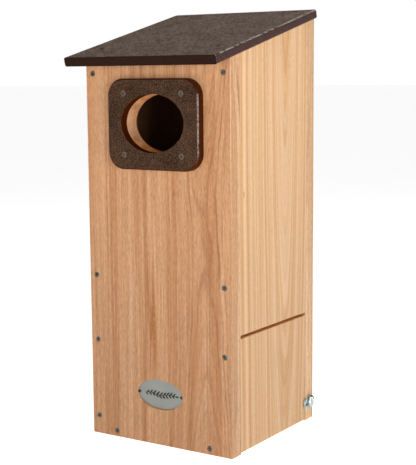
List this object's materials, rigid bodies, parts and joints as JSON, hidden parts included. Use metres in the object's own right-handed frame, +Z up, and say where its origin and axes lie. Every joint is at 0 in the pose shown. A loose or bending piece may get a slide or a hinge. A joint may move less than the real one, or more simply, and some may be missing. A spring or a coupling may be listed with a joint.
{
  "type": "nesting box",
  "caption": "Tall cedar nesting box with a sloping poly-lumber roof, an oval entrance in a guard plate, and a side clean-out door that pivots on two screws and has a turn-button latch.",
  "frame": {"origin": "middle of the underside of the floor, which is level with the lower ends of the boards", "axes": "+Z up, the entrance faces -Y, the back that goes against a post faces +Y, and the clean-out door is on +X"},
  "size_m": [0.2477, 0.2711, 0.6009],
  "materials": {
    "cedar_front": "planed, unfinished",
    "cedar_side": "planed, unfinished",
    "poly_lumber": "fine textured",
    "screw_steel": "satin",
    "coated_screw": "satin",
    "badge_metal": "brushed",
    "zinc": "bright zinc plate"
  },
  "bodies": {
    "box": {"front_board": "cedar_front", "back_board": "cedar_front", "left_side_board": "cedar_side", "right_side_panel": "cedar_side", "floor_board": "cedar_side", "roof_panel": "poly_lumber", "entrance_guard": "poly_lumber", "guard_screws": "screw_steel", "roof_screws": "coated_screw", "front_left_screws": "screw_steel", "front_right_screws": "screw_steel", "back_left_screws": "screw_steel", "back_right_screws": "screw_steel", "front_floor_screws": "screw_steel", "back_floor_screws": "screw_steel", "left_floor_screws": "screw_steel", "front_pivot_screw": "screw_steel", "back_pivot_screw": "screw_steel", "name_plate": "badge_metal", "name_plate_pins": "screw_steel", "latch_spacer": "zinc", "latch_screw": "zinc"},
    "door": {"side_door": "cedar_side", "door_strike": "zinc", "strike_screws": "zinc"},
    "button": {"latch_button": "zinc"}
  },
  "joints": [
    {"name": "door_swing", "type": "hinge", "parent": "box", "child": "door", "pos_m": [0.1064, 0, 0.1378], "axis": [0, -1, 0], "range_deg": [0, 130]},
    {"name": "button_turn", "type": "hinge", "parent": "box", "child": "button", "pos_m": [0.1175, 0.1013, 0.0335], "axis": [1, 0, 0], "continuous": true}
  ]
}
